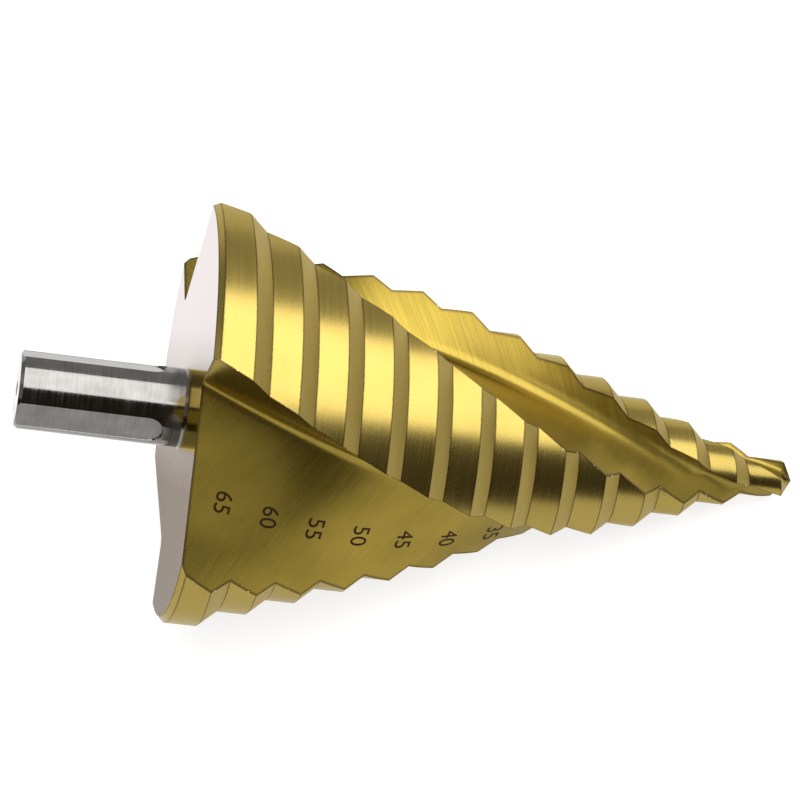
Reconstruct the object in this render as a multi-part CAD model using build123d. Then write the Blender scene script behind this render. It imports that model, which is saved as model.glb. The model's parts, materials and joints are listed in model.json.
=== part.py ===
from build123d import *
from build123d.topology import SkipClean
import math
import os
from itertools import combinations

os.makedirs("parts", exist_ok=True)

# Driving dimensions in millimetres and degrees. The drill is drawn along its own axis first:
# station 0 is the back face, the tip points to +X and the shank to -X.

# Steps: the largest diameter at the back, the change from each land to the next, and the tip's own
largest_diameter = 65.0
diameter_step = 5.0
tip_diameter = 6.0
first_land = 5.9
land_length = 4.48
shoulder_length = 2.84
tip_land = 5.5
rim_chamfer = 0.9
point_angle = 118.0

# Flutes: three spiral grooves, each with a steep cutting face and a wide flat wall. The spiral's
# angle, the turn of the first cutting edge at the back face, and the root's radius fix their course.
flute_count = 3
helix_angle = 29.7
helix_ease = 2.73
first_edge_turn = 75.2
face_lean = 5.0
wall_angle_back = 101.5
wall_angle_drop = 10.5
root_radius_back = 21.5
root_radius_tip = 1.2
root_curve = 1.15
fillet_back = 2.2
fillet_tip = 0.6
flute_stations = 20
station_crowding = 1.5
flute_overrun = 3.0
cutter_share = 1.25
cutter_margin = 6.0

# Shank: a round bar with three ground flats and a centre hole in its end
shank_diameter = 12.0
shank_length = 25.1
end_chamfer = 0.55
seat_ring = 0.3
flat_count = 3
flat_depth = 0.52
flat_width = 5.0
flat_end_gap = 2.9
first_flat_turn = 12.0
centre_hole_diameter = 2.4
centre_hole_depth = 2.0
shank_root = 0.5

# Worked out from the sizes above
step_count = math.ceil((largest_diameter - tip_diameter) / diameter_step)
step_radii = [(largest_diameter - i * diameter_step) / 2 for i in range(step_count)]
step_radii.append(tip_diameter / 2)
pitch = land_length + shoulder_length
last_front = first_land + step_count * pitch
point_start = last_front - land_length + tip_land
point_length = step_radii[-1] / math.tan(math.radians(point_angle / 2))
body_length = point_start + point_length
taper = diameter_step / 2 / pitch
shank_radius = shank_diameter / 2

# For finding how the drill lies: points checked along each land, and the gap that counts as contact
land_samples = 8
touch = 1e-6


def envelope(s):
    """Radius of the straight cone through the front edges of the lands, at station s."""
    return step_radii[0] - taper * (s - first_land)


def edge_turn(s):
    """Turn of the first cutting edge about the axis, for a spiral of constant helix angle."""
    gain = math.tan(math.radians(helix_angle)) / taper
    ratio = (envelope(0) + helix_ease) / (envelope(s) + helix_ease)
    return first_edge_turn + math.degrees(gain * math.log(ratio))


def placed(s, x, y, turn):
    """A point of a cross-section: x points outward at the given turn, y goes on around the axis."""
    return Vector(s, -y, x).rotate(Axis.X, turn)


def flute_lines(s):
    """Root corner of the flute at station s and the directions of its face and its wall."""
    left = max(0.0, 1 - s / body_length)
    root = root_radius_tip + (root_radius_back - root_radius_tip) * left**root_curve
    lean = math.radians(face_lean)
    wall = math.radians(wall_angle_back - wall_angle_drop * (s / body_length) ** 2)
    corner = (root, (envelope(s) - root) * math.tan(lean))
    return corner, (math.cos(lean), -math.sin(lean)), (math.cos(wall), math.sin(wall))


def reach(start, way, radius):
    """The point where a line from start reaches the given distance from the axis."""
    b = start[0] * way[0] + start[1] * way[1]
    c = start[0] ** 2 + start[1] ** 2 - radius**2
    t = -b + math.sqrt(b * b - c)
    return (start[0] + t * way[0], start[1] + t * way[1])


def flute_section(s):
    """Closed outline of the groove at station s, open outward past the body."""
    corner, face_way, wall_way = flute_lines(s)
    outer = cutter_share * envelope(s) + cutter_margin
    share = max(0.0, 1 - s / body_length)
    fillet = fillet_tip + (fillet_back - fillet_tip) * share
    opening = math.acos(face_way[0] * wall_way[0] + face_way[1] * wall_way[1])
    tangent = fillet / math.tan(opening / 2)
    middle = (face_way[0] + wall_way[0], face_way[1] + wall_way[1])
    size = math.hypot(*middle)
    nearest = fillet / math.sin(opening / 2) - fillet
    points = [
        reach(corner, face_way, outer),
        (corner[0] + tangent * face_way[0], corner[1] + tangent * face_way[1]),
        (corner[0] + nearest * middle[0] / size, corner[1] + nearest * middle[1] / size),
        (corner[0] + tangent * wall_way[0], corner[1] + tangent * wall_way[1]),
        reach(corner, wall_way, outer),
        reach(corner, (middle[0] / size, middle[1] / size), cutter_share * outer),
    ]
    a, b, c, d, e, f = [placed(s, x, y, edge_turn(s)) for x, y in points]
    return Wire(
        [
            Edge.make_line(a, b),
            Edge.make_three_point_arc(b, c, d),
            Edge.make_line(d, e),
            Edge.make_line(e, f),
            Edge.make_line(f, a),
        ]
    )


def turned(outline):
    """A solid turned about the drill's axis from a list of stations and radii."""
    return revolve(make_face(Polyline([(x, 0, r) for x, r in outline], close=True)), Axis.X)


def stepped_body():
    """The turned body: lands and shoulders from the back face to the point."""
    outline = [(0, 0), (0, step_radii[0] - rim_chamfer), (rim_chamfer, step_radii[0])]
    front = first_land
    for radius, next_radius in zip(step_radii, step_radii[1:]):
        outline.append((front, radius))
        outline.append((front + shoulder_length, next_radius))
        front += pitch
    outline.append((point_start, step_radii[-1]))
    outline.append((body_length, 0))
    return turned(outline)


def flute():
    """One groove, as a solid to cut away, with its stations closer together where it twists faster."""
    span = body_length + 2 * flute_overrun
    sections = []
    for i in range(flute_stations + 1):
        left = 1 - i / flute_stations
        sections.append(flute_section(body_length + flute_overrun - span * left**station_crowding))
    return Solid.make_loft(sections)


def shank():
    """The round stretch beside the body and the flatted bar behind it, kept apart as two faces."""
    end = -shank_length
    flat_start = -flat_end_gap - flat_width / 2
    stretch = turned(
        [
            (shank_root, 0),
            (shank_root, shank_radius + seat_ring),
            (0, shank_radius + seat_ring),
            (-seat_ring, shank_radius),
            (flat_start, shank_radius),
            (flat_start, 0),
        ]
    )
    bar = turned(
        [
            (flat_start, 0),
            (flat_start, shank_radius),
            (end + end_chamfer, shank_radius),
            (end, shank_radius - end_chamfer),
            (end, centre_hole_diameter / 2),
            (end + centre_hole_depth, 0),
        ]
    )
    for i in range(flat_count):
        cutter = Rot(X=first_flat_turn + i * 360 / flat_count) * flat_cutter()
        stretch -= cutter
        bar -= cutter
    with SkipClean():
        return stretch + bar


def flat_cutter():
    """A slot-shaped block over the top of the shank, round at its inner end."""
    length = 2 * (shank_length - flat_end_gap)
    slot = SlotOverall(length, flat_width)
    block = extrude(slot, shank_radius)
    return Pos(-shank_length, 0, shank_radius - flat_depth) * block


def drill():
    """The whole drill along its own axis."""
    body = stepped_body()
    groove = flute()
    for i in range(flute_count):
        body -= Rot(X=i * 360 / flute_count) * groove
    bar = shank()
    with SkipClean():
        return body + bar


def land_front(i):
    """Points along the front edge of the land after the first groove: heel first, cutting corner last."""
    front = first_land + i * pitch
    radius = step_radii[i]
    root, face_way, wall_way = flute_lines(front)
    cut_x, cut_y = reach(root, face_way, radius)
    heel_x, heel_y = reach(root, wall_way, radius)
    heel = math.atan2(heel_y, heel_x)
    cut = math.atan2(cut_y, cut_x) + 2 * math.pi / flute_count
    points = []
    for j in range(land_samples + 1):
        angle = heel + (cut - heel) * j / land_samples
        points.append(placed(front, radius * math.cos(angle), radius * math.sin(angle), edge_turn(front)))
    return points


def hold(triangle, normal, centre):
    """How far inside the triangle the centre stands, seen along the normal, and below 0 if outside."""
    sides = zip(triangle, triangle[1:] + triangle[:1])
    reaches = [(q - p).normalized().cross(centre - p).dot(normal) for p, q in sides]
    return max(min(reaches), min(-r for r in reaches))


def resting_normal(centre):
    """Outward normal of the plane that the drill lies on, across its first groove."""
    fronts = [land_front(i) for i in range(len(step_radii))]
    turns = [k * 360 / flute_count for k in range(flute_count)]
    outside = [p.rotate(Axis.X, turn) for points in fronts for p in points for turn in turns]
    beside = [points[0] for points in fronts] + [points[-1].rotate(Axis.X, -turns[1]) for points in fronts]
    best_hold = -math.inf
    best_normal = None
    for triangle in combinations(beside, 3):
        a, b, c = triangle
        normal = (b - a).cross(c - a).normalized()
        if normal.dot(a - centre) < 0:
            normal = -normal
        if any(normal.dot(p - a) > touch for p in outside):
            continue
        held = hold(list(triangle), normal, centre)
        if held > best_hold:
            best_hold = held
            best_normal = normal
    return best_normal


def laid_down(solid):
    """The drill as it lies on a flat surface: the tip towards +X, the lowest point at height 0."""
    down = resting_normal(solid.center(CenterOf.MASS))
    turn = math.degrees(math.atan2(down.Y, -down.Z))
    dip = math.degrees(math.asin(down.X))
    lying = Rot(Y=dip) * Rot(X=-turn) * solid
    box = lying.bounding_box()
    middle = box.center()
    return Pos(-middle.X, -middle.Y, -box.min.Z) * lying


step_drill = laid_down(drill())
export_step(step_drill, "parts/step_drill.step")
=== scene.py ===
import json
import math
import bmesh
import bpy
from mathutils import Matrix, Vector


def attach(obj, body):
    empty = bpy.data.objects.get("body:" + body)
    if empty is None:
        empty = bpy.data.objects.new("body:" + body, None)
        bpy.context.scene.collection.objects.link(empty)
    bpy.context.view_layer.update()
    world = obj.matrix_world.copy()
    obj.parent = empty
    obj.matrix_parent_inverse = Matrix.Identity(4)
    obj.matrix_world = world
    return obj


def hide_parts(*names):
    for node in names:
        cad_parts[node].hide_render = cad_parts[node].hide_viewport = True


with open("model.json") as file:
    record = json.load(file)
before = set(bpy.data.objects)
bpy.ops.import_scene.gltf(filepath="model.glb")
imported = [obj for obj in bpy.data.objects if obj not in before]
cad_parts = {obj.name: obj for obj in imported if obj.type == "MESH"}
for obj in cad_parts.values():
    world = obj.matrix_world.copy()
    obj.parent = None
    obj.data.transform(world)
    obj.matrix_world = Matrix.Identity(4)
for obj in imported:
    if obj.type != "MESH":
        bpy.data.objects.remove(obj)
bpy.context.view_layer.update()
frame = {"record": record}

# A step drill that lies across one of its flutes. It is drawn along its own axis in millimetres, like
# the solid: station 0 is the back face, +X is the tip, and turns about the axis are in degrees from +Z
# on towards -Y. The finished meshes are then laid down.
MM = 0.001

# Steps: the diameters of the first and the last land, and the change from one land to the next
LARGEST = 65.0
TIP = 6.0
STEP_CHANGE = 5.0

# Lengths along the axis: the chamfer of the rim, the end of the first land, each later land, each
# shoulder and the last land; then the angle of the point and the radius at which it ends
RIM = 0.9
FIRST_LAND = 5.9
LAND = 4.48
SHOULDER = 2.84
TIP_LAND = 5.5
POINT_ANGLE = 118.0
POINT_END = 0.02

# What follows from them: one step's length, the number of steps, the radius of each land, the stations
# where the point starts and where the body ends, and the body's loss of radius for each millimetre
PITCH = LAND + SHOULDER
STEP_COUNT = math.ceil((LARGEST - TIP) / STEP_CHANGE)
RADII = [(LARGEST - i * STEP_CHANGE) / 2 for i in range(STEP_COUNT)] + [TIP / 2]
POINT_START = FIRST_LAND + STEP_COUNT * PITCH - LAND + TIP_LAND
BODY = POINT_START + RADII[-1] / math.tan(math.radians(POINT_ANGLE / 2))
TAPER = STEP_CHANGE / 2 / PITCH

# Flutes: their number, the angle of their edges to the axis, the length that is added to the radius to
# keep the twist small at the tip, and the turn of the first cutting edge at the back face
FLUTES = 3
HELIX = 29.7
HELIX_EASE = 2.73
FIRST_EDGE = 75.2
APART = 360 / FLUTES

# The lean of a flute's cutting face, and the direction of its wall at the back face and how much less
# that is at the tip
FACE_LEAN = 5.0
WALL_BACK = 101.5
WALL_DROP = 10.5

# How far the root lies from the axis at the back face and at the tip, the power by which that changes
# between them, and the radius of the fillet at both
ROOT_BACK = 21.5
ROOT_TIP = 1.2
ROOT_CURVE = 1.15
FILLET_BACK = 2.2
FILLET_TIP = 3.4

# A flute's section reaches at least this many times as far out as its root, and the fillet takes up at
# most this share of its face and of its wall
ROOT_CLEARANCE = 1.02
FILLET_SHARE = 0.8

# The lands fall away towards the back behind their cutting edges, in millimetres for each radian. The
# heel's station depends on its own turn, and is found in this many rounds
FALL_OFF = 0.74
HEEL_ROUNDS = 6

# How finely the body is drawn: the points on the face, the fillet and the wall of a flute and on a land,
# the number of a flute's point at the heel, and the widest gap between two rows in millimetres
FACE_POINTS = 10
FILLET_POINTS = 10
WALL_POINTS = 18
LAND_POINTS = 40
HEEL_POINT = FACE_POINTS + FILLET_POINTS + WALL_POINTS
ROW_GAP = 0.75

# Shank: its radius and length, the chamfer of its end, the height of the sloping ring that seats it on
# the body and how much longer that is than high, how far it reaches into the body, and its sides
SHANK = 6.0
SHANK_LENGTH = 25.1
END_CHAMFER = 0.55
SEAT_RING = 0.3
SEAT_EDGE = 0.08
SHANK_INSIDE = 0.5
SHANK_SIDES = 180

# Flats of the shank: their number, the turn of the first, their depth and width, their gap to the body,
# the slope of their end walls, and the number of sides of their round ends
FLATS = 3
FIRST_FLAT = 12.0
FLAT_DEPTH = 0.52
FLAT_WIDTH = 5.0
FLAT_GAP = 2.9
END_SLOPE = 0.5
END_ROUNDING = 24

# Centre hole in the shank's end: radius and depth
HOLE = 1.2
HOLE_DEPTH = 2.0

# How the drill lies: the mount on its shank gives the axis, and it is turned about that axis until it
# rests across one flute
LYING_TURN = -63.57
MOUNT_STATION = -2.85
shank_mount = frame["record"]["mounts"][0]
axis = -Vector(shank_mount["axis"]).normalized()
dip = math.atan2(-axis.z, axis.x)
back_centre = Vector(shank_mount["pos_m"]) - axis * MOUNT_STATION * MM
LYING = (
    Matrix.Translation(back_centre)
    @ Matrix.Rotation(dip, 4, "Y")
    @ Matrix.Rotation(math.radians(LYING_TURN), 4, "X")
    @ Matrix.Scale(MM, 4)
)

# Edges that turn by more than this are drawn sharp
CREASE = math.radians(22)


def envelope(s):
    """Radius of the straight cone through the front edges of the lands."""
    return RADII[0] - TAPER * (s - FIRST_LAND)


def edge_turn(s):
    """Turn of the first cutting edge at station s."""
    gain = math.tan(math.radians(HELIX)) / TAPER
    ratio = (envelope(0) + HELIX_EASE) / (envelope(s) + HELIX_EASE)
    return FIRST_EDGE + math.degrees(gain * math.log(ratio))


def along_axis(s, x, y, turn):
    """A point of a cross-section, x outward at the given turn and y on around the axis."""
    a = math.radians(turn)
    return Vector((s, -x * math.sin(a) - y * math.cos(a), x * math.cos(a) - y * math.sin(a)))


def flute_lines(s):
    """Root corner of the flute at station s, and the directions of its face and its wall."""
    left = max(0.0, 1 - s / BODY)
    root = ROOT_TIP + (ROOT_BACK - ROOT_TIP) * left**ROOT_CURVE
    lean = math.radians(FACE_LEAN)
    wall = math.radians(WALL_BACK - WALL_DROP * (s / BODY) ** 2)
    corner = Vector((root, (envelope(s) - root) * math.tan(lean)))
    return corner, Vector((math.cos(lean), -math.sin(lean))), Vector((math.cos(wall), math.sin(wall)))


def reach(corner, way, radius):
    """How far along the way from the corner the given radius is met."""
    b = corner.dot(way)
    return -b + math.sqrt(max(0.0, b * b - corner.length_squared + radius**2))


def flute_point(s, radius, index):
    """Point number index of the flute's section at station s, as x and y, inside the given radius.

    The points run in along the face, around the fillet and out along the wall."""
    corner, face_way, wall_way = flute_lines(s)
    rim = max(radius, corner.length * ROOT_CLEARANCE)
    share = max(0.0, 1 - s / BODY)
    fillet = FILLET_TIP + (FILLET_BACK - FILLET_TIP) * share
    opening = face_way.angle(wall_way)
    face_end = reach(corner, face_way, rim)
    wall_end = reach(corner, wall_way, rim)
    tangent = min(fillet / math.tan(opening / 2), FILLET_SHARE * face_end, FILLET_SHARE * wall_end)
    if index <= FACE_POINTS:
        length = face_end + (tangent - face_end) * index / FACE_POINTS
        point = corner + face_way * length
    elif index < FACE_POINTS + FILLET_POINTS:
        t = (index - FACE_POINTS) / FILLET_POINTS
        start = corner + face_way * tangent
        end = corner + wall_way * tangent
        point = start * (1 - t) ** 2 + corner * 2 * t * (1 - t) + end * t**2
    else:
        t = (index - FACE_POINTS - FILLET_POINTS) / WALL_POINTS
        point = corner + wall_way * (tangent + (wall_end - tangent) * t)
    if point.length > radius:
        point = point * (radius / point.length)
    return point


def spread(start, end, radius, next_radius, zone):
    """Rows from start up to, but not at, end, with radii from radius to next_radius."""
    count = math.ceil((end - start) / ROW_GAP)
    rows = []
    for i in range(count):
        t = i / count
        rows.append((start + (end - start) * t, radius + (next_radius - radius) * t, zone))
    return rows


def body_rows():
    """Station, radius and zone of each row from the back face to the point.

    A row's zone is that of the faces after it."""
    rows = [(0.0, RADII[0] - RIM, "rim")]
    start = RIM
    front = FIRST_LAND
    for radius, smaller in zip(RADII, RADII[1:]):
        rows += spread(start, front, radius, radius, "land")
        rows += spread(front, front + SHOULDER, radius, smaller, "shoulder")
        start = front + SHOULDER
        front += PITCH
    rows += spread(start, POINT_START, RADII[-1], RADII[-1], "land")
    rows += spread(POINT_START, BODY, RADII[-1], POINT_END, "point")
    rows.append((BODY, POINT_END, "point"))
    return rows


def zone_spans(rows):
    """The first and last station of each row's zone."""
    starts = [n for n in range(len(rows)) if n == 0 or rows[n][2] != rows[n - 1][2]]
    spans = []
    for first, beyond in zip(starts, starts[1:] + [len(rows) - 1]):
        spans += [(rows[first][0], rows[beyond][0])] * (beyond - first)
    return spans


class RowPoint:
    """A point of a row: its place, the zone that starts there, and how far along the row it lies.

    In a flute that is the distance in millimetres from the root corner, negative on the cutting face,
    and on a land the turn in degrees. The edges are its zone's first and last such values."""

    def __init__(self, place, zone, along, edges):
        self.place = place
        self.zone = zone
        self.along = along
        self.edges = edges


def fall(s):
    """Share of the full fall-off at station s: none on the rim, all of it from the first land's end."""
    return min(1.0, max(0.0, (s - RIM) / (FIRST_LAND - RIM)))


def polar(point):
    """Turn of a section's point about the axis."""
    return math.degrees(math.atan2(point.y, point.x))


def find_heel(s, radius, cut):
    """Station and turn of a land's heel, for a land that ends at the cutting edge of station s."""
    slope = FALL_OFF * fall(s)
    heel_s = s
    for _ in range(HEEL_ROUNDS):
        heel = edge_turn(heel_s) + polar(flute_point(heel_s, radius, HEEL_POINT))
        heel_s = s - slope * math.radians(cut + APART - heel)
    return heel_s, heel


def flute_row(s, heel_s, radius, turn):
    """A row's points in one flute, from the cutting edge to the heel, with the stations drawn back."""
    edges = (
        -(flute_point(s, radius, 0) - flute_lines(s)[0]).length,
        (flute_point(heel_s, radius, HEEL_POINT) - flute_lines(heel_s)[0]).length,
    )
    points = []
    for index in range(HEEL_POINT):
        at = s + (heel_s - s) * index / HEEL_POINT
        p = flute_point(at, radius, index)
        side = -1 if index < FACE_POINTS + FILLET_POINTS / 2 else 1
        out = side * (p - flute_lines(at)[0]).length
        place = along_axis(at, p.x, p.y, edge_turn(at) + turn)
        points.append(RowPoint(place, "flute", out, edges))
    return points


def land_row(s, heel_s, radius, edges):
    """A row's points on one land, from the heel to the next cutting edge; edges are their turns."""
    points = []
    for i in range(LAND_POINTS):
        t = i / LAND_POINTS
        turn = edges[0] + (edges[1] - edges[0]) * t
        place = along_axis(heel_s + (s - heel_s) * t, radius, 0.0, turn)
        points.append(RowPoint(place, "land", turn, edges))
    return points


def body_row(s, radius):
    """One closed row around the body, with the stations behind the cutting edges drawn back."""
    cut = edge_turn(s) + polar(flute_point(s, radius, 0))
    heel_s, heel = find_heel(s, radius, cut)
    points = []
    for k in range(FLUTES):
        points += flute_row(s, heel_s, radius, k * APART)
        points += land_row(s, heel_s, radius, (heel + k * APART, cut + APART + k * APART))
    return points


# Slots of the body's materials, and the slot of each zone outside the flutes
LANDS, SHOULDERS, FLUTE_WALLS, BACK = range(4)
ZONE_SLOTS = {"rim": LANDS, "land": LANDS, "shoulder": SHOULDERS, "point": SHOULDERS}

# The flutes' grinding lines run outward from the root, and lean this far to the back for each millimetre
GRAIN_LEAN = 0.5

# A gap that is wider than any edge line
FAR = 50.0


class Corner:
    """A face's corner: its point, how far along its row it lies, and the gaps to its zone's edges.

    The lengths are in millimetres. ends holds the gaps to the zone's first and last station, and edges
    where the zone starts and ends along the row."""

    def __init__(self, point, along, edges, ends):
        self.point = point
        self.along = along
        self.gaps = (ends, (along - edges[0], edges[1] - along))


def row_corners(start, end, slot, radius, ends):
    """The first and last corner that a face has on one row."""
    scale = 1.0 if slot == FLUTE_WALLS else math.radians(radius)
    zone = "flute" if slot == FLUTE_WALLS else "land"
    last = end.along if end.zone == zone else start.edges[1]
    edges = [edge * scale for edge in start.edges]
    if slot == FLUTE_WALLS:
        ends = (start.place.x, FAR)
    return Corner(start, start.along * scale, edges, ends), Corner(end, last * scale, edges, ends)


def plain_corners(points):
    """The corners of a face without edge lines."""
    return [Corner(point, FAR, (0, 2 * FAR), (FAR, FAR)) for point in points]


class Skin:
    """The body's faces, with the slot of each and its maps.

    The maps have a pair in millimetres for each corner of each face. grain lies along and across the
    grinding lines, ends holds the gaps to the zone's first and last station, and sides those to its
    first and last edge along the row."""

    def __init__(self):
        self.faces = []
        self.slots = []
        self.grain = []
        self.ends = []
        self.sides = []

    def add(self, face, corners, slot):
        """Adds a face, given by the numbers of its points."""
        self.faces.append(face)
        self.slots.append(slot)
        lean = GRAIN_LEAN if slot == FLUTE_WALLS else 0.0
        for corner in corners:
            self.grain.append((corner.along, corner.point.place.x + lean * abs(corner.along)))
            self.ends.append(corner.gaps[0])
            self.sides.append(corner.gaps[1])


def seat_points(ring):
    """Where the back face meets the shank, one point for each of the body's first row."""
    seat = []
    for point in ring:
        outward = Vector((0, point.place.y, point.place.z)).normalized()
        seat.append(RowPoint(outward * SHANK, "flute", 0, (0, 0)))
    return seat


def add_back(skin, seat, ring):
    """The flat back face, from the shank to the body's first row."""
    count = len(ring)
    for i in range(count):
        j = (i + 1) % count
        corners = plain_corners((seat[i], seat[j], ring[j], ring[i]))
        skin.add((i, j, count + j, count + i), corners, BACK)


def add_band(skin, first, rings, rows, span):
    """The faces between two rows; first is the number of the nearer one's first point."""
    near, far = rings
    station, radius, zone = rows[0]
    next_station = rows[1][0]
    near_ends = (station - span[0], span[1] - station)
    far_ends = (next_station - span[0], span[1] - next_station)
    count = len(near)
    for i in range(count):
        j = (i + 1) % count
        slot = FLUTE_WALLS if near[i].zone == "flute" else ZONE_SLOTS[zone]
        a, b = row_corners(near[i], near[j], slot, radius, near_ends)
        d, c = row_corners(far[i], far[j], slot, radius, far_ends)
        skin.add((first + i, first + j, first + count + j, first + count + i), (a, b, c, d), slot)


def make_body():
    """The stepped, fluted cone as one mesh, with its maps and a slot for each kind of surface."""
    rows = body_rows()
    rings = [body_row(s, radius) for s, radius, zone in rows]
    seat = seat_points(rings[0])
    count = len(seat)
    skin = Skin()
    add_back(skin, seat, rings[0])
    for n, span in enumerate(zone_spans(rows)):
        add_band(skin, count * (n + 1), rings[n : n + 2], rows[n : n + 2], span)
    last = count * len(rings)
    skin.add(tuple(range(last, last + count)), plain_corners(rings[-1]), SHOULDERS)
    body = skinned_piece("body", [point.place for ring in [seat, *rings] for point in ring], skin)
    lay_down(body.data)
    return body


def skinned_piece(name, places, skin):
    """An object with these points and the skin's faces, slots and maps, not laid down yet."""
    mesh = bpy.data.meshes.new(name)
    mesh.from_pydata(places, [], skin.faces)
    for map_name, pairs in (("grain", skin.grain), ("ends", skin.ends), ("sides", skin.sides)):
        layer = mesh.uv_layers.new(name=map_name)
        layer.data.foreach_set("uv", [value for pair in pairs for value in pair])
    mesh.update()
    mesh.polygons.foreach_set("material_index", skin.slots)
    return add_piece(name, mesh)


def lay_down(mesh):
    """Moves a finished mesh to where the drill lies, and keeps each point's place on the drill."""
    kept = mesh.attributes.new("drill_place", "FLOAT_VECTOR", "POINT")
    kept.data.foreach_set("vector", [value for vertex in mesh.vertices for value in vertex.co])
    mesh.transform(LYING)
    mesh.shade_smooth()
    mesh.set_sharp_from_angle(angle=CREASE)


def add_piece(name, data):
    """An object with this mesh or other data, in the scene."""
    piece = bpy.data.objects.new(name, data)
    bpy.context.scene.collection.objects.link(piece)
    return piece


def finished_mesh(piece):
    """A mesh of the object as it is with its modifiers or its font."""
    bpy.context.view_layer.update()
    return bpy.data.meshes.new_from_object(piece.evaluated_get(bpy.context.evaluated_depsgraph_get()))


def closed_mesh(name, places, faces):
    """A closed mesh whose faces all look outward."""
    mesh = bpy.data.meshes.new(name)
    mesh.from_pydata(places, [], faces)
    work = bmesh.new()
    work.from_mesh(mesh)
    bmesh.ops.recalc_face_normals(work, faces=work.faces)
    work.to_mesh(mesh)
    work.free()
    return mesh


def turned_mesh(name, outline, sides):
    """A closed mesh turned about the axis from stations and radii that start and end on it."""
    places = [Vector((outline[0][0], 0, 0))]
    for s, radius in outline[1:-1]:
        for i in range(sides):
            places.append(along_axis(s, radius, 0.0, 360 * i / sides))
    places.append(Vector((outline[-1][0], 0, 0)))
    faces = []
    rings = len(outline) - 2
    for i in range(sides):
        j = (i + 1) % sides
        faces.append((0, 1 + j, 1 + i))
        for ring in range(rings - 1):
            a = 1 + ring * sides
            faces.append((a + i, a + j, a + sides + j, a + sides + i))
        a = 1 + (rings - 1) * sides
        faces.append((a + i, a + j, len(places) - 1))
    return closed_mesh(name, places, faces)


def slot_plan(half):
    """The outline of a slot over the shank, round at its inner end, as stations and widths."""
    centre = -FLAT_GAP - FLAT_WIDTH / 2
    outer_end = -SHANK_LENGTH - half
    plan = [(outer_end, -half), (outer_end, half)]
    for i in range(END_ROUNDING + 1):
        a = math.pi / 2 - math.pi * i / END_ROUNDING
        plan.append((centre + half * math.cos(a), half * math.sin(a)))
    return plan


def slot_cutter(turn):
    """A block that cuts one flat, with an end wall that slopes, turned about the axis."""
    floor_height = SHANK - FLAT_DEPTH
    depth = 2 * FLAT_DEPTH
    floor_plan = slot_plan(FLAT_WIDTH / 2 - END_SLOPE * depth / 2)
    top_plan = slot_plan(FLAT_WIDTH / 2 + END_SLOPE * depth / 2)
    count = len(floor_plan)
    places = [along_axis(s, floor_height, y, turn) for s, y in floor_plan]
    places += [along_axis(s, floor_height + depth, y, turn) for s, y in top_plan]
    faces = [tuple(range(count)), tuple(reversed(range(count, 2 * count)))]
    for i in range(count):
        j = (i + 1) % count
        faces.append((i, count + i, count + j, j))
    return closed_mesh("slot", places, faces)


def cut_flats(bar):
    """The bar's mesh less one slot for each flat. The blocks that cut them are taken out again."""
    cutters = []
    for i in range(FLATS):
        cutter = add_piece(f"slot_{i}", slot_cutter(FIRST_FLAT + 360 * i / FLATS))
        cut = bar.modifiers.new(cutter.name, "BOOLEAN")
        cut.operation = "DIFFERENCE"
        cut.solver = "EXACT"
        cut.object = cutter
        cutters.append(cutter)
    carved = finished_mesh(bar)
    bar.modifiers.clear()
    for cutter in cutters:
        bpy.data.objects.remove(cutter)
    return carved


def make_shank():
    """The shank: a turned bar with its seat ring, end chamfer and centre hole, less its flats."""
    end = -SHANK_LENGTH
    outline = [
        (end + HOLE_DEPTH, 0),
        (end, HOLE),
        (end, SHANK - END_CHAMFER),
        (end + END_CHAMFER, SHANK),
        (-SEAT_RING - SEAT_EDGE, SHANK),
        (0, SHANK + SEAT_RING),
        (SHANK_INSIDE, SHANK + SEAT_RING),
        (SHANK_INSIDE, 0),
    ]
    bar = add_piece("shank", turned_mesh("shank", outline, SHANK_SIDES))
    bar.data = cut_flats(bar)
    lay_down(bar.data)
    return bar


# The size marks on the first flute's wall: the station of the first, the gap to the next, how far out
# along the wall they lie and how that changes with the station, their size, and how far they lean
MARKS = (65, 60, 55, 50, 45, 40, 35)
FIRST_MARK = 5.3
MARK_GAP = 7.5
MARK_OUT = 15.2
MARK_OUT_CHANGE = -0.115
MARK_HEIGHT = 2.9
MARK_WIDTH = 3.2
MARK_LEAN = 8.0

# How finely the figures' curves are drawn, how far over the wall they lie, and how the wall is found:
# the step that gives its direction, the farthest it can be, and how often that is halved
MARK_CURVES = 6
MARK_LIFT = 0.03
WALL_STEP = 0.1
MARK_REACH = 0.6
MARK_HALVINGS = 30


def wall_point(s, out):
    """A point of the first flute's wall, at station s and this far out from the root corner."""
    lines = flute_lines(s)
    point = lines[0] + lines[2] * out
    return along_axis(s, point.x, point.y, edge_turn(s))


def wall_place(s, out, x, y):
    """A point drawn over the wall, x along a mark's line and y towards its top, from the mark's middle.

    The direction in which the wall faces is given with it."""
    middle = wall_point(s, out)
    outward = (wall_point(s, out + WALL_STEP) - middle).normalized()
    onward = wall_point(s + WALL_STEP, out) - middle
    onward = (onward - outward * onward.dot(outward)).normalized()
    lean = math.radians(MARK_LEAN)
    right = outward * math.cos(lean) - onward * math.sin(lean)
    upward = outward * math.sin(lean) + onward * math.cos(lean)
    above = outward.cross(onward)
    if above.y > 0:
        above = -above
    return middle + right * x + upward * y, above


def is_inside(place):
    """Whether a place lies behind the first flute's wall."""
    corner, face_way, wall_way = flute_lines(place.x)
    a = math.radians(edge_turn(place.x))
    x = -place.y * math.sin(a) + place.z * math.cos(a)
    y = -place.y * math.cos(a) - place.z * math.sin(a)
    point = Vector((x, y)) - corner
    side = point.x * wall_way.y - point.y * wall_way.x
    open_side = face_way.x * wall_way.y - face_way.y * wall_way.x
    return side * open_side < 0


def drop_on_wall(place, above):
    """The place moved along the wall's own direction until it lies just over the wall."""
    low = -MARK_REACH
    high = MARK_REACH
    for _ in range(MARK_HALVINGS):
        middle = (low + high) / 2
        if is_inside(place + above * middle):
            low = middle
        else:
            high = middle
    return place + above * (high + MARK_LIFT)


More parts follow.
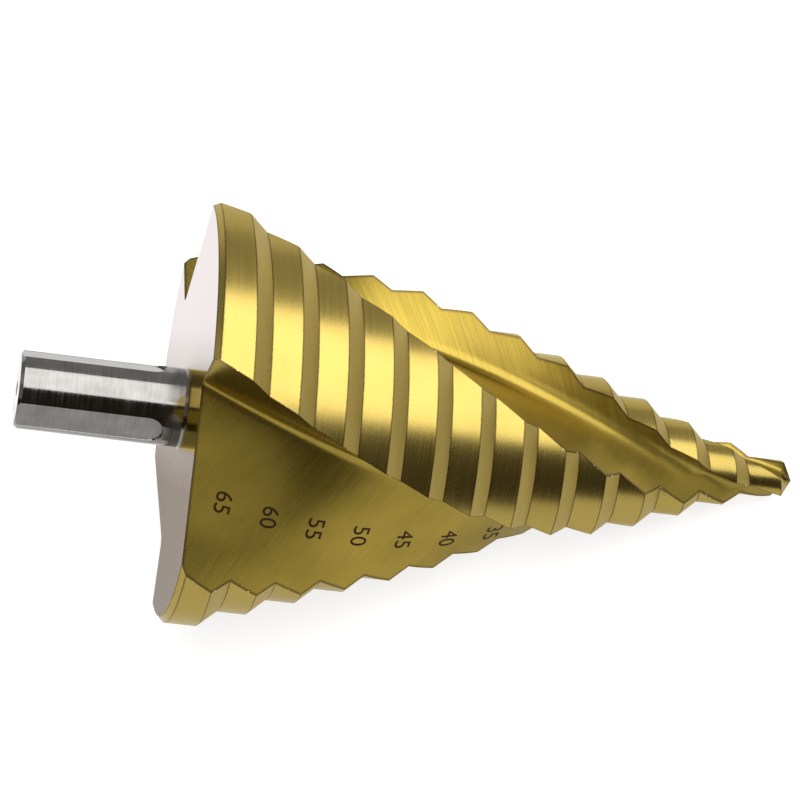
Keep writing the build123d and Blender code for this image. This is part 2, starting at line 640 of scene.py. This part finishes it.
def number_mesh(number):
    """The flat outline of a number, from the built-in font."""
    words = bpy.data.curves.new("number", "FONT")
    words.body = str(number)
    words.resolution_u = MARK_CURVES
    holder = add_piece("number", words)
    flat = finished_mesh(holder)
    bpy.data.objects.remove(holder)
    return flat


def make_marks():
    """The size marks, drawn on the wall with their tops towards the tip, as one thin dark piece."""
    work = bmesh.new()
    for i, number in enumerate(MARKS):
        flat = number_mesh(number)
        xs = [v.co.x for v in flat.vertices]
        ys = [v.co.y for v in flat.vertices]
        station = FIRST_MARK + i * MARK_GAP
        out = MARK_OUT + MARK_OUT_CHANGE * (station - FIRST_MARK)
        for vertex in flat.vertices:
            x = ((vertex.co.x - min(xs)) / (max(xs) - min(xs)) - 0.5) * MARK_WIDTH
            y = ((vertex.co.y - min(ys)) / (max(ys) - min(ys)) - 0.5) * MARK_HEIGHT
            vertex.co = drop_on_wall(*wall_place(station, out, x, y))
        work.from_mesh(flat)
    mesh = bpy.data.meshes.new("marks")
    work.to_mesh(mesh)
    work.free()
    lay_down(mesh)
    return add_piece("marks", mesh)


# Nearly all values of a noise lie between these
NOISE_LOW = 0.3
NOISE_HIGH = 0.7


def new_metal(name):
    """A new material with a metal shader, and its tree and its shader."""
    material = bpy.data.materials.new(name)
    material.use_nodes = True
    tree = material.node_tree
    shader = tree.nodes["Principled BSDF"]
    shader.inputs["Metallic"].default_value = 1.0
    return material, tree, shader


def mapped(tree, name):
    """One of the body's maps."""
    node = tree.nodes.new("ShaderNodeUVMap")
    node.uv_map = name
    return node.outputs["UV"]


def drill_place(tree):
    """The place on the drill, in its own frame."""
    node = tree.nodes.new("ShaderNodeAttribute")
    node.attribute_name = "drill_place"
    return node.outputs["Vector"]


def parts_of(tree, vector):
    """The three numbers of a vector, by their letters."""
    node = tree.nodes.new("ShaderNodeSeparateXYZ")
    tree.links.new(vector, node.inputs["Vector"])
    return node.outputs


def math_node(tree, operation, first, second):
    """Two numbers, or a socket and a number, put together."""
    node = tree.nodes.new("ShaderNodeMath")
    node.operation = operation
    for value, socket in ((first, node.inputs[0]), (second, node.inputs[1])):
        if isinstance(value, float):
            socket.default_value = value
        else:
            tree.links.new(value, socket)
    return node.outputs["Value"]


def stepped(tree, value, start, end, low, high):
    """A number that goes from low to high as the value goes from start to end."""
    node = tree.nodes.new("ShaderNodeMapRange")
    node.inputs["From Min"].default_value = start
    node.inputs["From Max"].default_value = end
    node.inputs["To Min"].default_value = low
    node.inputs["To Max"].default_value = high
    tree.links.new(value, node.inputs["Value"])
    return node.outputs["Result"]


def within(tree, value, low, high, soft):
    """One where a value lies between low and high, falling to nothing over a soft edge."""
    rise = stepped(tree, value, low - soft, low + soft, 0.0, 1.0)
    fall_again = stepped(tree, value, high - soft, high + soft, 1.0, 0.0)
    return math_node(tree, "MULTIPLY", rise, fall_again)


def nearest(tree, name):
    """Distance in millimetres to the nearer of a map's two edges."""
    pair = parts_of(tree, mapped(tree, name))
    return math_node(tree, "MINIMUM", pair["X"], pair["Y"])


def scaled_noise(tree, source, scale, detail):
    """Noise over a map stretched by the scale, for lines that run one way."""
    mapping = tree.nodes.new("ShaderNodeMapping")
    mapping.inputs["Scale"].default_value = scale
    noise = tree.nodes.new("ShaderNodeTexNoise")
    noise.inputs["Scale"].default_value = 1.0
    noise.inputs["Detail"].default_value = detail
    tree.links.new(source, mapping.inputs["Vector"])
    tree.links.new(mapping.outputs["Vector"], noise.inputs["Vector"])
    return noise.outputs["Fac"]


def blend_value(tree, noise, low, high):
    """A number between low and high, by a noise."""
    return stepped(tree, noise, NOISE_LOW, NOISE_HIGH, low, high)


def blend_colour(tree, noise, low, high):
    """A colour between low and high, by a noise."""
    ramp = tree.nodes.new("ShaderNodeValToRGB")
    ramp.color_ramp.elements[0].position = NOISE_LOW
    ramp.color_ramp.elements[0].color = (*low, 1)
    ramp.color_ramp.elements[1].position = NOISE_HIGH
    ramp.color_ramp.elements[1].color = (*high, 1)
    tree.links.new(noise, ramp.inputs["Fac"])
    return ramp.outputs["Color"]


# A mix node has its sockets once for each kind: the numbers of its two inputs and of its output
MIX_SOCKETS = {"RGBA": (6, 7, 2), "FLOAT": (2, 3, 0)}


def mixed(tree, factor, first, second, kind="RGBA"):
    """A mix of two colours or numbers by a factor."""
    node = tree.nodes.new("ShaderNodeMix")
    node.data_type = kind
    one, two, result = MIX_SOCKETS[kind]
    for value, number in ((factor, 0), (first, one), (second, two)):
        if isinstance(value, (tuple, float)):
            node.inputs[number].default_value = value
        else:
            tree.links.new(value, node.inputs[number])
    return node.outputs[result]


# The depth of the grinding lines at full strength
RELIEF_DEPTH = 0.02


def add_relief(tree, shader, height, strength):
    """Fine relief on a shader, by a noise."""
    relief = tree.nodes.new("ShaderNodeBump")
    relief.inputs["Strength"].default_value = strength
    relief.inputs["Distance"].default_value = RELIEF_DEPTH * MM
    tree.links.new(height, relief.inputs["Height"])
    tree.links.new(relief.outputs["Normal"], shader.inputs["Normal"])


# Along the edges the coating has a dark brown line this wide, which is darkest up to this share of its
# width and is made uneven by this many millimetres
EDGE_LINE = 0.16
EDGE_CORE = 0.4
EDGE_DARKEST = 0.8
EDGE_UNEVEN = 0.22
EDGE_BROWN = (0.085, 0.055, 0.018, 1.0)

# Nicks down to the steel lie beside the cutting edges and heels, between these distances, where a noise
# of this scale is above this value
NICK_SCALE = (1.1, 1.1, 1)
NICK_START = 0.7
NICK_BLEND = 0.03
NICK_FULL = 0.05
NICK_END = 0.22
NICK_STEEL = (0.82, 0.78, 0.66, 1.0)


def worn_coat(tree, coat, grain, dots, edge):
    """The colour of the coating with its dark edges, as wide as edge, and its nicks."""
    uneven = math_node(tree, "MULTIPLY", math_node(tree, "SUBTRACT", dots, 0.5), EDGE_UNEVEN)
    side_gap = nearest(tree, "sides")
    edge_gap = math_node(tree, "MINIMUM", nearest(tree, "ends"), side_gap)
    gap = math_node(tree, "ADD", edge_gap, uneven)
    edge_dark = stepped(tree, gap, edge * EDGE_CORE, edge, EDGE_DARKEST, 0.0)
    spots = scaled_noise(tree, grain, NICK_SCALE, detail=1)
    spots = stepped(tree, spots, NICK_START, NICK_START + NICK_BLEND, 0.0, 1.0)
    beside = stepped(tree, side_gap, NICK_FULL, NICK_END, 1.0, 0.0)
    nicks = math_node(tree, "MULTIPLY", spots, beside)
    return mixed(tree, nicks, mixed(tree, edge_dark, coat, EDGE_BROWN), NICK_STEEL)


# The scales of the cloudy tones and of the speckles, the colours at grazing angles, the share of the
# grinding lines in the colour, and how far from the root a flute's two sides blend
CLOUD_SCALE = (0.12, 0.12, 1)
SPECKLE_SCALE = (2.6, 2.6, 1)
GRAZING_GOLD = (0.86, 0.80, 0.62, 1.0)
GRAZING_PALE = (0.92, 0.88, 0.80, 1.0)
LINE_SHARE = 0.3
FACE_BLEND = 0.8


def coated_metal(
    name, dark, light, smooth, rough, lines, bump, speckle,
    grazing=GRAZING_GOLD, edge=EDGE_LINE, face_lines=LINE_SHARE,
):
    """Ground and coated metal, with lines, speckles and cloudy tones in its colour and its shine.

    dark and light are its colours, smooth and rough its roughness, lines and bump the scale and the
    strength of the grinding lines, and speckle the share of the speckles. edge is the width of the dark
    lines along its edges, and face_lines the share of the lines in the colour of the cutting faces."""
    material, tree, shader = new_metal(name)
    shader.inputs["Specular Tint"].default_value = grazing
    grain = mapped(tree, "grain")
    fine = scaled_noise(tree, grain, lines, detail=4)
    broad = scaled_noise(tree, grain, CLOUD_SCALE, detail=2)
    dots = scaled_noise(tree, grain, SPECKLE_SCALE, detail=3)
    tone = mixed(tree, speckle, broad, dots, "FLOAT")
    from_root = parts_of(tree, grain)["X"]
    line_share = stepped(tree, from_root, -FACE_BLEND, FACE_BLEND, face_lines, LINE_SHARE)
    coat = blend_colour(tree, mixed(tree, line_share, tone, fine, "FLOAT"), dark, light)
    tree.links.new(worn_coat(tree, coat, grain, dots, edge), shader.inputs["Base Color"])
    shine = blend_value(tree, mixed(tree, speckle, fine, dots, "FLOAT"), smooth, rough)
    tree.links.new(shine, shader.inputs["Roughness"])
    add_relief(tree, shader, fine, bump)
    return material


def land_metal():
    """The lands: bright coated metal with fine turning lines around them."""
    return coated_metal(
        "gold_land",
        dark=(0.275, 0.204, 0.051),
        light=(0.325, 0.244, 0.065),
        smooth=0.25,
        rough=0.29,
        lines=(0.05, 2, 1),
        bump=0.012,
        speckle=0.2,
    )


def shoulder_metal():
    """The shoulders: the same coating, left duller and speckled."""
    return coated_metal(
        "gold_shoulder",
        dark=(0.285, 0.214, 0.058),
        light=(0.395, 0.300, 0.086),
        smooth=0.42,
        rough=0.60,
        lines=(0.3, 3, 1),
        bump=0.1,
        speckle=0.6,
        grazing=GRAZING_PALE,
    )


# The flutes grow duller between these stations: their metallic share there, and what roughness gains
DULL_FROM = 35.0
DULL_TO = 62.0
BRIGHT_METALLIC = 0.88
DULL_METALLIC = 0.7
DULL_ROUGHER = 0.09


def flute_metal():
    """The flutes: coated metal with grinding lines across the groove, duller towards the tip."""
    # Painted shade: the flutes' gold is darker and deeper than the lands', for the dim, twice reflected
    # light in the groove.
    metal = coated_metal(
        "gold_flute",
        dark=(0.195, 0.139, 0.021),
        light=(0.305, 0.221, 0.037),
        smooth=0.23,
        rough=0.28,
        lines=(0.10, 2.6, 1),
        bump=0.02,
        speckle=0.2,
        edge=0.5,
        face_lines=0.75,
    )
    tree = metal.node_tree
    shader = tree.nodes["Principled BSDF"]
    station = parts_of(tree, drill_place(tree))["X"]
    metallic = stepped(tree, station, DULL_FROM, DULL_TO, BRIGHT_METALLIC, DULL_METALLIC)
    tree.links.new(metallic, shader.inputs["Metallic"])
    even = shader.inputs["Roughness"].links[0].from_socket
    duller = stepped(tree, station, DULL_FROM, DULL_TO, 0.0, DULL_ROUGHER)
    tree.links.new(math_node(tree, "ADD", even, duller), shader.inputs["Roughness"])
    return metal


# The back face: the scale of its fine lines, two pale tones of the steel above and a darker one below,
# which is painted shade of the shadowed floor that the lower part reflects; the colours at grazing
# angles there, the heights between which they change, and the roughness
BACK_LINES = (1, 0.3, 4)
BACK_TONES = ((0.67, 0.625, 0.615), (0.74, 0.695, 0.685))
BACK_PAINTED_SHADE_TONE = (0.30, 0.265, 0.235, 1.0)
BACK_GRAZING = (0.94, 0.92, 0.92, 1.0)
BACK_PAINTED_SHADE_GRAZING = (0.62, 0.57, 0.52, 1.0)
PAINTED_SHADE_FULL_BELOW = -12.0
PAINTED_SHADE_GONE_ABOVE = 12.0
BACK_ROUGHNESS = (0.34, 0.46)

# Painted reflection: a gold strip on the back face beside the shank, where the shank is mirrored in it
STRIP_HALF_WIDTH = 6.0
STRIP_SOFT = 0.1
PAINTED_REFLECTION_GOLD = (0.45, 0.345, 0.05, 1.0)
PAINTED_REFLECTION_GRAZING = (0.56, 0.43, 0.06, 1.0)
STRIP_ROUGHNESS = 0.18


def back_metal():
    """The back face: pale ground steel with painted shade below and a painted gold reflection of the
    shank.
    """
    material, tree, shader = new_metal("ground_back")
    place = drill_place(tree)
    parts = parts_of(tree, place)
    fine = scaled_noise(tree, place, BACK_LINES, detail=4)
    # Painted shade: the face turns darker towards the bottom, in colour and at grazing angles, where it
    # reflects the floor in the drill's shadow.
    height = stepped(tree, parts["Z"], PAINTED_SHADE_FULL_BELOW, PAINTED_SHADE_GONE_ABOVE, 0.0, 1.0)
    steel = mixed(tree, height, BACK_PAINTED_SHADE_TONE, blend_colour(tree, fine, *BACK_TONES))
    grazing = mixed(tree, height, BACK_PAINTED_SHADE_GRAZING, BACK_GRAZING)
    # Painted reflection: gold where the shank is mirrored in the face, beside it on the half towards the
    # camera.
    beside = within(tree, parts["Z"], -STRIP_HALF_WIDTH, STRIP_HALF_WIDTH, STRIP_SOFT)
    near = within(tree, parts["Y"], -LARGEST / 2, 0.0, STRIP_SOFT)
    painted_reflection = math_node(tree, "MULTIPLY", beside, near)
    tree.links.new(mixed(tree, painted_reflection, steel, PAINTED_REFLECTION_GOLD), shader.inputs["Base Color"])
    tree.links.new(mixed(tree, painted_reflection, grazing, PAINTED_REFLECTION_GRAZING), shader.inputs["Specular Tint"])
    dull = blend_value(tree, fine, *BACK_ROUGHNESS)
    tree.links.new(mixed(tree, painted_reflection, dull, STRIP_ROUGHNESS, "FLOAT"), shader.inputs["Roughness"])
    return material


# The shank: the scales of its fine lines and its cloudy tones, the strength of the lines' relief, its
# two tones and its roughness
SHANK_LINES = (2.6, 0.25, 0.25)
SHANK_CLOUDS = (0.3, 0.5, 0.5)
SHANK_BUMP = 0.05
SHANK_TONES = ((0.13, 0.127, 0.121), (0.2, 0.195, 0.186))
SHANK_ROUGHNESS = (0.08, 0.18)

# The size marks: the scale of their specks, their two tones and their roughness
MARK_SPECKS = (3, 3, 3)
MARK_TONES = ((0.028, 0.014, 0.006), (0.055, 0.03, 0.013))
MARK_ROUGHNESS = (0.5, 0.75)


def shank_metal():
    """The shank: bare ground steel with fine lines around it."""
    material, tree, shader = new_metal("shank_steel")
    place = drill_place(tree)
    fine = scaled_noise(tree, place, SHANK_LINES, detail=5)
    cloud = scaled_noise(tree, place, SHANK_CLOUDS, detail=2)
    tone = mixed(tree, 0.5, fine, cloud, "FLOAT")
    tree.links.new(blend_colour(tree, tone, *SHANK_TONES), shader.inputs["Base Color"])
    tree.links.new(blend_value(tree, fine, *SHANK_ROUGHNESS), shader.inputs["Roughness"])
    add_relief(tree, shader, fine, SHANK_BUMP)
    return material


def mark_ink():
    """The size marks: dark brown, burnt into the coating, a little uneven."""
    material, tree, shader = new_metal("mark_brown")
    uneven = scaled_noise(tree, drill_place(tree), MARK_SPECKS, detail=3)
    tree.links.new(blend_colour(tree, uneven, *MARK_TONES), shader.inputs["Base Color"])
    tree.links.new(blend_value(tree, uneven, *MARK_ROUGHNESS), shader.inputs["Roughness"])
    return material


# The floor: half its width in metres, its diffuse part, which takes the shadow, and the glow that
# keeps it white to the camera and in the metal
FLOOR_HALF = 4.0
FLOOR_DIFFUSE = 0.34
FLOOR_GLOW = 0.74


def floor_white():
    """A pale diffuse material that also glows for camera, glossy and transmission rays."""
    material = bpy.data.materials.new("floor_white")
    material.use_nodes = True
    tree = material.node_tree
    tree.nodes.clear()
    diffuse = tree.nodes.new("ShaderNodeBsdfDiffuse")
    diffuse.inputs["Color"].default_value = (FLOOR_DIFFUSE, FLOOR_DIFFUSE, FLOOR_DIFFUSE, 1)
    rays = tree.nodes.new("ShaderNodeLightPath").outputs
    seen = math_node(tree, "MAXIMUM", rays["Is Camera Ray"], rays["Is Glossy Ray"])
    seen = math_node(tree, "MAXIMUM", seen, rays["Is Transmission Ray"])
    emission = tree.nodes.new("ShaderNodeEmission")
    tree.links.new(math_node(tree, "MULTIPLY", seen, FLOOR_GLOW), emission.inputs["Strength"])
    both = tree.nodes.new("ShaderNodeAddShader")
    tree.links.new(diffuse.outputs["BSDF"], both.inputs[0])
    tree.links.new(emission.outputs["Emission"], both.inputs[1])
    output = tree.nodes.new("ShaderNodeOutputMaterial")
    tree.links.new(both.outputs["Shader"], output.inputs["Surface"])
    return material


def make_floor():
    """A plain pale floor far wider than the view."""
    mesh = bpy.data.meshes.new("floor")
    corners = [(x * FLOOR_HALF, y * FLOOR_HALF, 0) for x, y in ((-1, -1), (1, -1), (1, 1), (-1, 1))]
    mesh.from_pydata(corners, [], [(0, 1, 2, 3)])
    mesh.materials.append(floor_white())
    floor = add_piece("floor", mesh)


# The lamps: a large one above the camera and dimmer ones around the drill. Each has a name, its turn
# about the drill, its lean towards the tip, its distance in metres, its spans in degrees around and
# along the drill as seen from it, and its brightness
LAMPS = [
    ("key", 53, 0, 0.9, 60, 44, 4.5),
    ("left", 76, -34, 0.9, 68, 24, 3.9),
    ("groove", 112, -17, 0.9, 36, 12, 2.2),
    ("low", 140, -35, 0.9, 50, 32, 0.7),
    ("far", -8, 0, 1.1, 56, 80, 0.6),
    ("tip", -32, 64, 1.0, 50, 46, 1.5),
    ("behind", -14, -60, 1.0, 56, 46, 0.4),
    ("rear", 0, -86, 1.1, 40, 36, 0.4),
    ("side", 85, 48, 1.1, 42, 28, 0.65),
]

# The dim even surround
SURROUND_COLOUR = (1.0, 0.8, 0.55, 1)
SURROUND_STRENGTH = 0.055


def unscaled(matrix):
    """The matrix without its scale."""
    place, rotation, _ = matrix.decompose()
    return Matrix.Translation(place) @ rotation.to_matrix().to_4x4()


def way_out(turn, along):
    """Unit direction from the drill's axis at a turn about it, leaning by an angle towards the tip."""
    a = math.radians(turn)
    b = math.radians(along)
    return Vector((math.sin(b), -math.sin(a) * math.cos(b), math.cos(a) * math.cos(b)))


def add_lamp(name, turn, along, distance, span_turn, span_along, brightness):
    """A soft rectangular lamp that faces the drill's middle."""
    width = 2 * distance * math.tan(math.radians(span_along / 2))
    height = 2 * distance * math.tan(math.radians(span_turn / 2))
    lamp = bpy.data.lights.new(name, "AREA")
    lamp.shape = "RECTANGLE"
    lamp.size = width
    lamp.size_y = height
    lamp.energy = brightness * math.pi * width * height
    outward = way_out(turn, along)
    side = (way_out(turn, along + 1) - way_out(turn, along - 1)).normalized()
    upward = outward.cross(side)
    turned = Matrix((side, upward, outward)).transposed().to_4x4()
    centre = Vector((BODY / 2, 0, 0))
    box = add_piece(name, lamp)
    box.matrix_world = unscaled(LYING @ Matrix.Translation(centre + outward * distance / MM) @ turned)


def light_studio():
    """All lamps, and the surround."""
    for lamp in LAMPS:
        add_lamp(*lamp)
    world = bpy.data.worlds.new("surround")
    world.use_nodes = True
    background = world.node_tree.nodes["Background"]
    background.inputs["Color"].default_value = SURROUND_COLOUR
    background.inputs["Strength"].default_value = SURROUND_STRENGTH
    bpy.context.scene.world = world


# The camera in the drill's own frame: its place in millimetres, its turn from straight across towards
# the tip, and its roll about the line of sight; then its lens and sensor in millimetres, and the
# nearest and farthest that it sees in metres
CAMERA_PLACE = Vector((-53.94, -469.16, 5.19))
CAMERA_YAW = 10.508
CAMERA_ROLL = 6.921
CAMERA_LENS = 140.08
CAMERA_SENSOR = 36
CLIP_START = 0.01
CLIP_END = 10


def make_camera():
    """The camera at the photograph's angle, level with the drill's axis and rolled a little."""
    data = bpy.data.cameras.new("camera")
    data.lens = CAMERA_LENS
    data.sensor_width = CAMERA_SENSOR
    data.clip_start = CLIP_START
    data.clip_end = CLIP_END
    camera = add_piece("camera", data)
    turned = (
        Matrix.Rotation(math.radians(-CAMERA_YAW), 4, "Z")
        @ Matrix.Rotation(math.radians(90), 4, "X")
        @ Matrix.Rotation(math.radians(CAMERA_ROLL), 4, "Z")
    )
    camera.matrix_world = unscaled(LYING @ Matrix.Translation(CAMERA_PLACE) @ turned)
    bpy.context.scene.camera = camera


body = make_body()
for metal in (land_metal(), shoulder_metal(), flute_metal(), back_metal()):
    body.data.materials.append(metal)
shank = make_shank()
shank.data.materials.clear()
shank.data.materials.append(shank_metal())
marks = make_marks()
marks.data.materials.clear()
marks.data.materials.append(mark_ink())
for piece in (body, shank, marks):
    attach(piece, "root")
    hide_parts("step_drill")

make_floor()
light_studio()
make_camera()
bpy.context.scene.view_settings.view_transform = "Standard"
